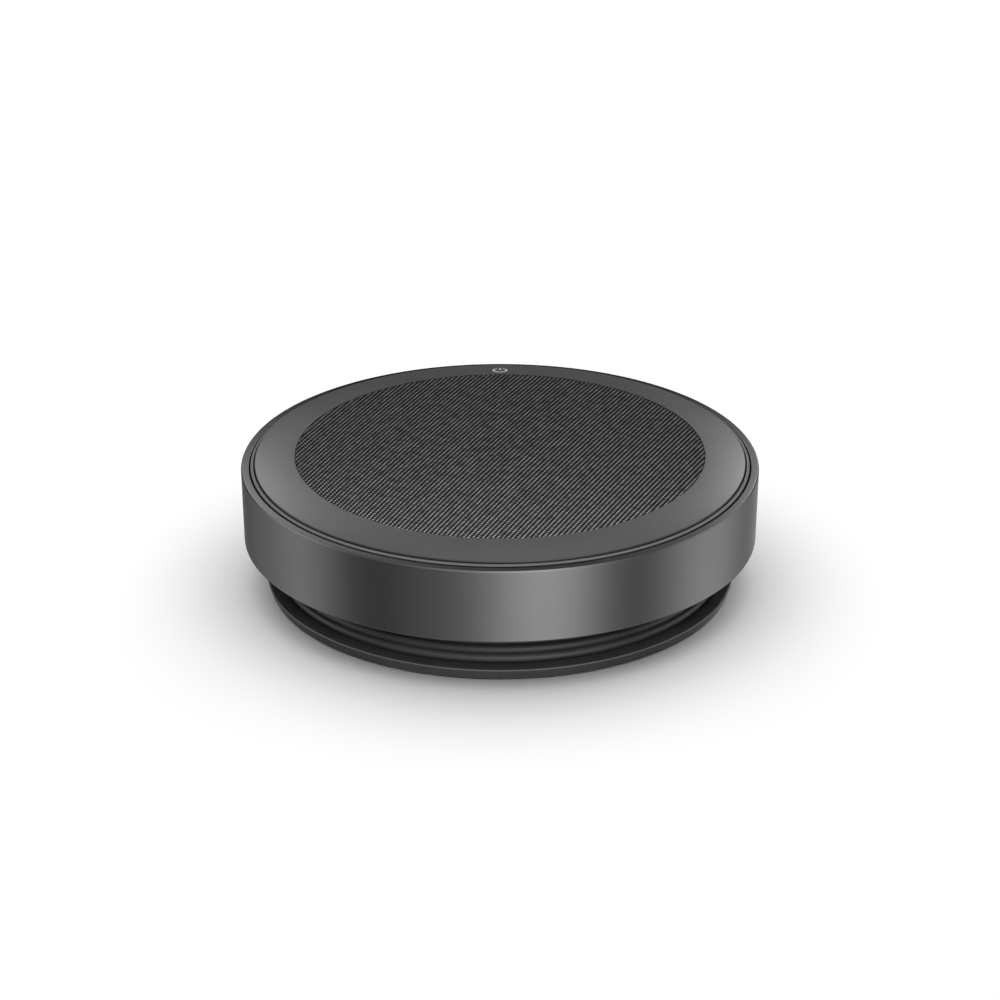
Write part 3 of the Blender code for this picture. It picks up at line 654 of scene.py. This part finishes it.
def plug_tip():
    """Drawn steel shell of the plug, with a rolled lip, hollow down to its floor."""
    width, length, height = PLUG_SHELL
    front = PLUG_REAR + PLUG_GRIP[1] + GAP
    wall = 0.3
    outer = [(0.0, 0.0), (length - 0.35, 0.0), (length - 0.12, 0.06), (length, 0.16)]
    inner = [(length, 0.24), (length - 0.12, wall), (0.6, wall)]
    sections = [
        rounded_section(width - 2 * inset, height - 2 * inset, front + y, height / 2 - inset)
        for y, inset in outer + inner
    ]
    return settle(new_object("usb_plug_tip", lofted(sections), "can_steel"), "plug_shell", "plug")


def strain_relief():
    """Flanged boot with grooves, where the cable leaves the underside."""
    outline = [(0.0, 16.3, 0), (3.3, 16.3, 0.1), (3.3, 15.5, 0.1), (2.2, 15.5, 0), (2.2, 13.4, 0)]
    outline += [(2.7, 13.3, 0.15), (2.55, 12.85, 0.05), (2.3, 12.75, 0.05), (2.25, 12.45, 0.05)]
    outline += [(2.42, 12.35, 0.05), (2.3, 11.95, 0.05), (2.05, 11.85, 0.05), (2.0, 11.6, 0.05)]
    outline += [(2.1, 11.5, 0.05), (1.85, GLAND_TIP, 0.15), (1.25, GLAND_TIP, 0.02)]
    outline += [(0.0, GLAND_TIP + 0.02, 0)]
    centre = polar(GLAND_FROM_AXIS, GLAND_ANGLE)
    turned = revolved(filleted(outline), SMALL_STEPS, centre)
    return settle(new_object("usb_lead_boot", turned, "cable_jacket"), "cable_gland")


# Outside pieces


def touch_top(radius):
    """Level of the touch ring, which falls away faster towards its rim."""
    out = radius - 52.4
    return 35.38 - 0.105 * out - 0.0046 * out**2


def fabric_top(radius):
    """Level of the domed grille cover at this distance from the axis."""
    return HEIGHT - 1.1 * (radius / GRILLE_RADIUS) ** 2


def side_band():
    """The metal band, bevelled at its top edge and a little narrower below."""
    outline = [
        (BAND_INNER, BAND_TOP, 0.12),
        (BODY_RADIUS - 0.28, BAND_TOP - 0.15, 0.08),
        (BODY_RADIUS, BAND_TOP - 0.55, 0.12),
        (BODY_RADIUS - 0.5, BAND_BOTTOM + 0.15, 0.1),
        (BODY_RADIUS - 0.7, BAND_BOTTOM - 0.05, 0.1),
        (BAND_INNER, BAND_BOTTOM, 0.1),
    ]
    settle(new_object("side_band", revolved(filleted(outline)), "satin_metal"), "outer_band")


def seam_light():
    """The light ring, with the small inward foot that it stands on."""
    foot_inner, foot_top, foot_under = 62.9, 30.9, 30.2
    outline = [
        (LIGHT_INNER, 33.34, 0.1),
        (LIGHT_OUTER, 33.06, 0.1),
        (LIGHT_OUTER, foot_under, 0),
        (foot_inner, foot_under, 0),
        (foot_inner, foot_top, 0),
        (LIGHT_INNER, foot_top, 0),
    ]
    settle(new_object("seam_light", revolved(filleted(outline)), "light_diffuser"), "light_ring")


def key_ring():
    """The touch ring, with softened rims at the cloth and at the seam."""
    count, edge, rim_top, rim_under = 14, 62.7, 33.58, 31.5
    wall_outer, wall_inner, wall_under, thickness = 61.7, 53.7, 32.2, 1.3
    radii = [TOUCH_INNER + (edge - 0.02 - TOUCH_INNER) * i / count for i in range(count)]
    outline = [(radius, touch_top(radius), 0) for radius in radii]
    outline[0] = (TOUCH_INNER, touch_top(TOUCH_INNER), 0.06)
    outline += [(edge, touch_top(edge), 0.14), (TOUCH_OUTER, rim_top, 0.1)]
    outline += [(TOUCH_OUTER, rim_under, 0.1), (wall_outer, rim_under, 0)]
    inside = (wall_outer, 57.2, wall_inner)
    outline += [(radius, touch_top(radius) - thickness, 0) for radius in inside]
    outline += [(wall_inner, wall_under, 0), (TOUCH_INNER, wall_under, 0)]
    settle(new_object("key_ring", revolved(filleted(outline)), "touch_plastic"), "touch_ring")


def stroke_section(left, right):
    """One cross-section of a stroke of the symbol, sunk into the touch ring and following its slope."""
    depth, raised, soft = 0.45, 0.02, 0.03
    near, far = left.lerp(right, 0.12), left.lerp(right, 0.88)
    profile = ((left, depth), (left, soft), (near, 0.0), (far, 0.0), (right, soft), (right, depth))
    ring = []
    for point, sink in profile:
        x, y = point.x, ICON_FROM_AXIS + point.y
        ring.append(Vector((x, y, touch_top(math.hypot(x, y)) + raised - sink)))
    return ring


def power_symbol():
    """Open ring and bar of the symbol, let into the touch ring."""
    outer, inner = ICON_RING_OUTER, ICON_RING_OUTER - ICON_STROKE
    opening = ICON_GAP_ANGLE / 2
    sweep = [90 + opening + (360 - 2 * opening) * i / 60 for i in range(61)]
    arc = [(polar(inner, angle).xy, polar(outer, angle).xy) for angle in sweep]
    half, (low, high) = ICON_STROKE / 2, ICON_BAR
    levels = [low + (high - low) * i / 12 for i in range(13)]
    bar = [(Vector((-half, level)), Vector((half, level))) for level in levels]
    bm = bmesh.new()
    for strip in (arc, bar):
        part = lofted([stroke_section(left, right) for left, right in strip])
        mesh = bpy.data.meshes.new("strip")
        part.to_mesh(mesh)
        part.free()
        bm.from_mesh(mesh)
        bpy.data.meshes.remove(mesh)
    settle(new_object("power_symbol", bm, "power_mark"), "power_icon")


def woven_point(position):
    """Where a point of the flat cloth lies once it is woven, domed and tucked in at the rim."""
    spread = position.length
    bend = 0.14
    rim = COVER_RADIUS - bend
    rib = 0.5 + 0.5 * math.cos(math.tau * RIB_ACROSS.dot(position))
    bump = 0.5 + 0.5 * math.cos(math.tau * RIB_ALONG.dot(position))
    sink = RIB_DEPTH * (1 - rib) + BUMP_DEPTH * (1 - bump) * rib
    if spread <= rim:
        return Vector((position.x, position.y, fabric_top(spread) - sink))
    over = (spread - rim) / bend
    turn = min(over, math.pi / 2)
    down = bend * (1 - math.cos(turn)) + bend * (over - turn)
    radius = rim + bend * math.sin(turn) - 0.5 * sink * math.sin(turn)
    scale = radius / spread
    level = fabric_top(rim) - down - sink * math.cos(turn)
    return Vector((position.x * scale, position.y * scale, level))


def woven_cloth():
    """The cover as a real weave, on a fine grid that is laid along its ribs.

    Each rib is four points wide and each bump three points long.
    """
    across, along = 4, 3
    determinant = RIB_ACROSS.x * RIB_ALONG.y - RIB_ACROSS.y * RIB_ALONG.x
    step_across = Vector((RIB_ALONG.y, -RIB_ALONG.x, 0.0)) / (determinant * across)
    step_along = Vector((-RIB_ACROSS.y, RIB_ACROSS.x, 0.0)) / (determinant * along)
    reach = COVER_RADIUS + CLOTH_TURN_IN
    most_ribs = 75
    bm = bmesh.new()
    points = {}
    for i in range(-most_ribs * across, most_ribs * across + 1):
        for j in range(-most_ribs * along, most_ribs * along + 1):
            position = step_across * i + step_along * j
            if position.length < reach:
                points[i, j] = bm.verts.new(woven_point(position) * MM)
    for i, j in list(points):
        corners = [points.get(key) for key in ((i, j), (i + 1, j), (i + 1, j + 1), (i, j + 1))]
        if None not in corners:
            bm.faces.new(corners)
    loose = [vert for vert in bm.verts if not vert.link_faces]
    bmesh.ops.delete(bm, geom=loose, context="VERTS")
    cloth = new_object("woven_cover", bm, "grille_cloth", 180.0)
    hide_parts("grille_fabric")
    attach(cloth, "housing")


def under_shell():
    """Wall, shelf, neck and floor, opened for the strain relief and the parked plug."""
    wall_inner, wall_outer, wall_top = 62.6, 63.9, 27.7
    outline = [
        (wall_inner, wall_top, 0),
        (wall_outer, wall_top, 0.1),
        (wall_outer, SHELF_UNDER, 0.35),
        (NECK_RADIUS, SHELF_UNDER, 0.5),
        (NECK_RADIUS, FLOOR_UNDER, 0.2),
        (0.0, FLOOR_UNDER, 0),
        (0.0, FLOOR_TOP, 0),
        (NECK_INNER, FLOOR_TOP, 0),
        (NECK_INNER, SHELF_TOP, 0),
        (wall_inner, SHELF_TOP, 0),
    ]
    shell = new_object("under_shell", revolved(filleted(outline), CUT_STEPS), "shell_plastic")
    hole = [(0, 12.0), (2.5, 12.0), (2.5, 16.0), (0, 16.0)]
    cut(shell, revolved(hole, SMALL_STEPS, polar(GLAND_FROM_AXIS, GLAND_ANGLE)))
    half, low, high = 16.2, 6.8, 13.65
    corners = [(-half, low), (half, low), (half, high), (-half, high)]
    upright = [tangent(PLUG_ANGLE) * y + Vector((0, 0, z)) for y, z in corners]
    inner, outer = polar(48.4, PLUG_ANGLE), polar(58.0, PLUG_ANGLE)
    cut(shell, lofted([[inner + corner for corner in upright], [outer + corner for corner in upright]]))
    settle(shell, "lower_shell")


def foot_flange():
    """The foot plate, with its groove for the rubber ring, its shallow middle and its screw wells."""
    groove_outer, groove_inner, groove_top = 57.9, 47.2, 1.5
    middle_radius, middle_under = 39.6, 0.8
    outline = [
        (0.0, FOOT_TOP, 0),
        (FOOT_RADIUS - 0.2, FOOT_TOP, 0.12),
        (FOOT_RADIUS, FOOT_TOP - 0.2, 0.12),
        (FOOT_RADIUS - 0.85, FOOT_UNDER, 0.15),
        (groove_outer, FOOT_UNDER, 0.1),
        (groove_outer, groove_top, 0.1),
        (groove_inner, groove_top, 0.1),
        (groove_inner, FOOT_UNDER, 0.1),
        (middle_radius + 0.4, FOOT_UNDER, 0.15),
        (middle_radius, middle_under, 0.15),
        (0.0, middle_under, 0),
    ]
    plate = new_object("foot_flange", revolved(filleted(outline, 3), CUT_STEPS), "foot_plastic")
    well = [(0, 0.1), (2.55, 0.1), (2.4, 0.45), (2.4, 1.8), (1.25, 1.8), (1.25, 4.0), (0, 4.0)]
    for angle in FOOT_SCREW_ANGLES:
        cut(plate, revolved(well, SMALL_STEPS, polar(FOOT_SCREW_CIRCLE, angle)))
    settle(plate, "foot_plate")


def grip_ring():
    """Rubber foot with moulded grooves in its sole."""
    outline = [(47.5, 1.2, 0.1), (57.6, 1.2, 0.1), (57.4, 0.0, 0.25)]
    first_groove, groove_pitch, groove_count = 56.0, 1.75, 5
    groove = ((0.0, 0.0), (0.25, 0.25), (0.6, 0.25), (0.85, 0.0))
    for index in range(groove_count):
        start = first_groove - groove_pitch * index
        outline += [(start - inwards, level, 0.1) for inwards, level in groove]
    outline += [(47.7, 0.0, 0.25)]
    settle(new_object("grip_ring", revolved(filleted(outline, 3)), "foot_rubber"), "rubber_foot")


def lobed(angle):
    """Six-lobed recess of a screw head."""
    return 1.0 + 0.16 * math.cos(math.radians(6 * angle))


def foot_screws():
    """Four screws, each with its recess, domed head and ridged shank."""
    outline = [(0.0, 1.15), (lobed, 1.15), (lobed, 0.55), (lambda angle: lobed(angle) + 0.06, 0.5)]
    outline += [(1.7, 0.5), (1.9, 0.56), (2.0, 0.7), (2.0, 1.5), (1.0, 1.5)]
    first_ridge, thread_pitch, ridge_count = 1.9, 0.65, 9
    for index in range(ridge_count):
        level = first_ridge + thread_pitch * index
        outline += [(1.0, level), (0.8, level + 0.2), (0.8, level + 0.3)]
    outline += [(0.9, 7.75), (0.0, 8.0)]
    for index, angle in enumerate(FOOT_SCREW_ANGLES, 1):
        turned = revolved(outline, SMALL_STEPS, polar(FOOT_SCREW_CIRCLE, angle))
        settle(new_object(f"foot_bolt_{index}", turned, "screw_steel"), f"foot_screw_{index}")


def finish_cad_nodes():
    """Gives every CAD node that still shows its own finish."""
    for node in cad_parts.values():
        if node.hide_render:
            continue
        slot = node.data.materials[0].name.split(".")[0]
        node.data.materials[0] = FINISHES[slot]


# Stage and light


def floor():
    """A plain pale floor, which nothing mirrors."""
    finish = Finish("floor_finish", 0.0)
    mottle = finish.noise(6.0, 4.0)
    fine = finish.noise(900.0, 2.0)
    tint = finish.blend(finish.between(mottle, 0.0, 1.0), (0.88, 0.88, 0.88), (0.9, 0.9, 0.9))
    stuff = finish.done(tint, finish.between(fine, 0.85, 0.95), finish.bump(fine, 0.004))
    mesh = bpy.data.meshes.new("floor")
    half = 12.0
    corners = [(-half, -half, 0), (half, -half, 0), (half, half, 0), (-half, half, 0)]
    mesh.from_pydata(corners, [], [(0, 1, 2, 3)])
    mesh.materials.append(stuff)
    made = bpy.data.objects.new("floor", mesh)
    made.visible_glossy = False
    bpy.context.scene.collection.objects.link(made)


def softbox(name, location, aim, size, power):
    """A broad light that brightens surfaces without showing in them."""
    data = bpy.data.lights.new(name, "AREA")
    data.shape = "RECTANGLE"
    data.size, data.size_y = size
    data.energy = power
    made = bpy.data.objects.new(name, data)
    made.location = location
    made.visible_glossy = False
    made.visible_camera = False
    made.rotation_euler = (Vector(aim) - Vector(location)).to_track_quat("-Z", "Y").to_euler()
    bpy.context.scene.collection.objects.link(made)
    return made


def restrict(light, names, state):
    """Makes a light pass over these objects, or reach nothing else."""
    group = bpy.data.collections.new(light.name + "_link")
    for name in names:
        group.objects.link(bpy.data.objects[name])
    light.light_linking.receiver_collection = group
    for entry in group.collection_objects:
        entry.light_linking.link_state = state


# Panels that stand round the object: azimuth from the front towards +X, how narrow each is, its
# brightness, and the levels between which it stands
PANELS = [(20.0, 8.0, 1.96, -0.6, 1.2), (-30.0, 8.0, 0.38, -0.6, 1.2), (90.0, 8.0, 0.51, -0.6, 0.6)]
PANELS += [(110.0, 8.0, 0.87, -0.6, 0.6), (170.0, 8.0, 0.36, -0.6, -0.1)]
PANELS += [(-100.0, 8.0, 0.91, -0.6, 0.6), (-140.0, 30.0, 0.18, -0.6, -0.1)]

# Soft glows: azimuth, elevation, how narrow each is, and its brightness
GLOWS = [(160.0, 15.0, 120.0, 1.05), (160.0, 25.0, 120.0, 7.8), (175.0, 50.0, 120.0, 1.3)]
GLOWS += [(180.0, 50.0, 120.0, 1.0), (-165.0, 30.0, 120.0, 1.28), (-160.0, 30.0, 120.0, 1.74)]
GLOWS += [(-160.0, 25.0, 120.0, 3.54), (-100.0, 25.0, 10.0, 0.5), (0.0, 60.0, 4.0, 0.6)]
GLOWS += [(0.0, -90.0, 6.0, 1.0)]


class Surroundings:
    """The studio's world: what shiny surfaces mirror. It casts no light on dull ones."""

    def __init__(self):
        self.world = bpy.data.worlds.new("studio")
        bpy.context.scene.world = self.world
        self.world.use_nodes = True
        self.world.cycles_visibility.diffuse = False
        self.tree = self.world.node_tree

    def node(self, kind, inputs, **settings):
        made = self.tree.nodes.new(kind)
        for key, value in settings.items():
            setattr(made, key, value)
        for key, value in enumerate(inputs):
            if isinstance(value, bpy.types.NodeSocket):
                self.tree.links.new(value, made.inputs[key])
            else:
                made.inputs[key].default_value = value
        return made

    def maths(self, operation, *values):
        return self.node("ShaderNodeMath", values, operation=operation).outputs[0]

    def facing(self, direction, azimuth, elevation=0.0):
        """How squarely a direction points to this place on the sky, 0 to 1."""
        flat = math.cos(math.radians(elevation))
        turn = math.radians(azimuth)
        towards = (math.sin(turn) * flat, -math.cos(turn) * flat, math.sin(math.radians(elevation)))
        dot = self.node("ShaderNodeVectorMath", (direction, towards), operation="DOT_PRODUCT")
        return self.maths("MAXIMUM", dot.outputs["Value"], 0.0)

    def ramp(self, value, start, end, low, high):
        return self.node("ShaderNodeMapRange", (value, start, end, low, high)).outputs[0]


def surroundings():
    """Standing panels, which the metal band mirrors as soft upright zones, and glows, all in the dark."""
    around = Surroundings()
    direction = around.node("ShaderNodeTexCoord", ()).outputs["Generated"]
    flat = around.node("ShaderNodeVectorMath", (direction, (1.0, 1.0, 0.0)), operation="MULTIPLY")
    heading = around.node("ShaderNodeVectorMath", (flat.outputs[0],), operation="NORMALIZE").outputs[0]
    height = around.node("ShaderNodeSeparateXYZ", (direction,)).outputs[2]
    total = 0.0
    for azimuth, narrow, bright, bottom, top in PANELS:
        shape = around.maths("POWER", around.facing(heading, azimuth), narrow)
        above = around.ramp(height, top + 0.15, top - 0.15, 0.0, bright)
        below = around.ramp(height, bottom - 0.1, bottom + 0.1, 0.0, 1.0)
        lit = around.maths("MULTIPLY", shape, around.maths("MULTIPLY", above, below))
        total = around.maths("ADD", total, lit)
    for azimuth, elevation, narrow, bright in GLOWS:
        shape = around.maths("POWER", around.facing(direction, azimuth, elevation), narrow)
        total = around.maths("ADD", total, around.maths("MULTIPLY", shape, bright))
    to_camera = around.node("ShaderNodeLightPath", ()).outputs["Is Camera Ray"]
    total = around.maths("MAXIMUM", total, to_camera)
    around.tree.links.new(total, around.tree.nodes["Background"].inputs["Color"])


def studio():
    """The surroundings, a broad overhead light, and two small lights at the front."""
    surroundings()
    softbox("overhead", (0.0, 0.8, 6.0), (0, 0, 0), (13.0, 13.0), 1020.0)
    front = softbox("front_fill", (0.0, -0.3, 0.17), (0, 0, 0.02), (0.2, 0.1), 0.9)
    restrict(front, ("floor", "key_ring", "woven_cover"), "EXCLUDE")
    top = softbox("cloth_fill", (0.0, -0.12, 0.08), (0, 0, 0.036), (0.3, 0.02), 0.586)
    restrict(top, ("woven_cover",), "INCLUDE")


def colours():
    """Plain colours, without a film look."""
    settings = bpy.context.scene.view_settings
    settings.view_transform = "Standard"
    settings.look = "None"
    settings.exposure = 0.0
    settings.gamma = 1.0


camera()
FINISHES = make_finishes()
cords()
side_band()
seam_light()
key_ring()
power_symbol()
woven_cloth()
under_shell()
foot_flange()
grip_ring()
foot_screws()
finish_cad_nodes()
floor()
studio()
colours()

bpy.context.view_layer.update()
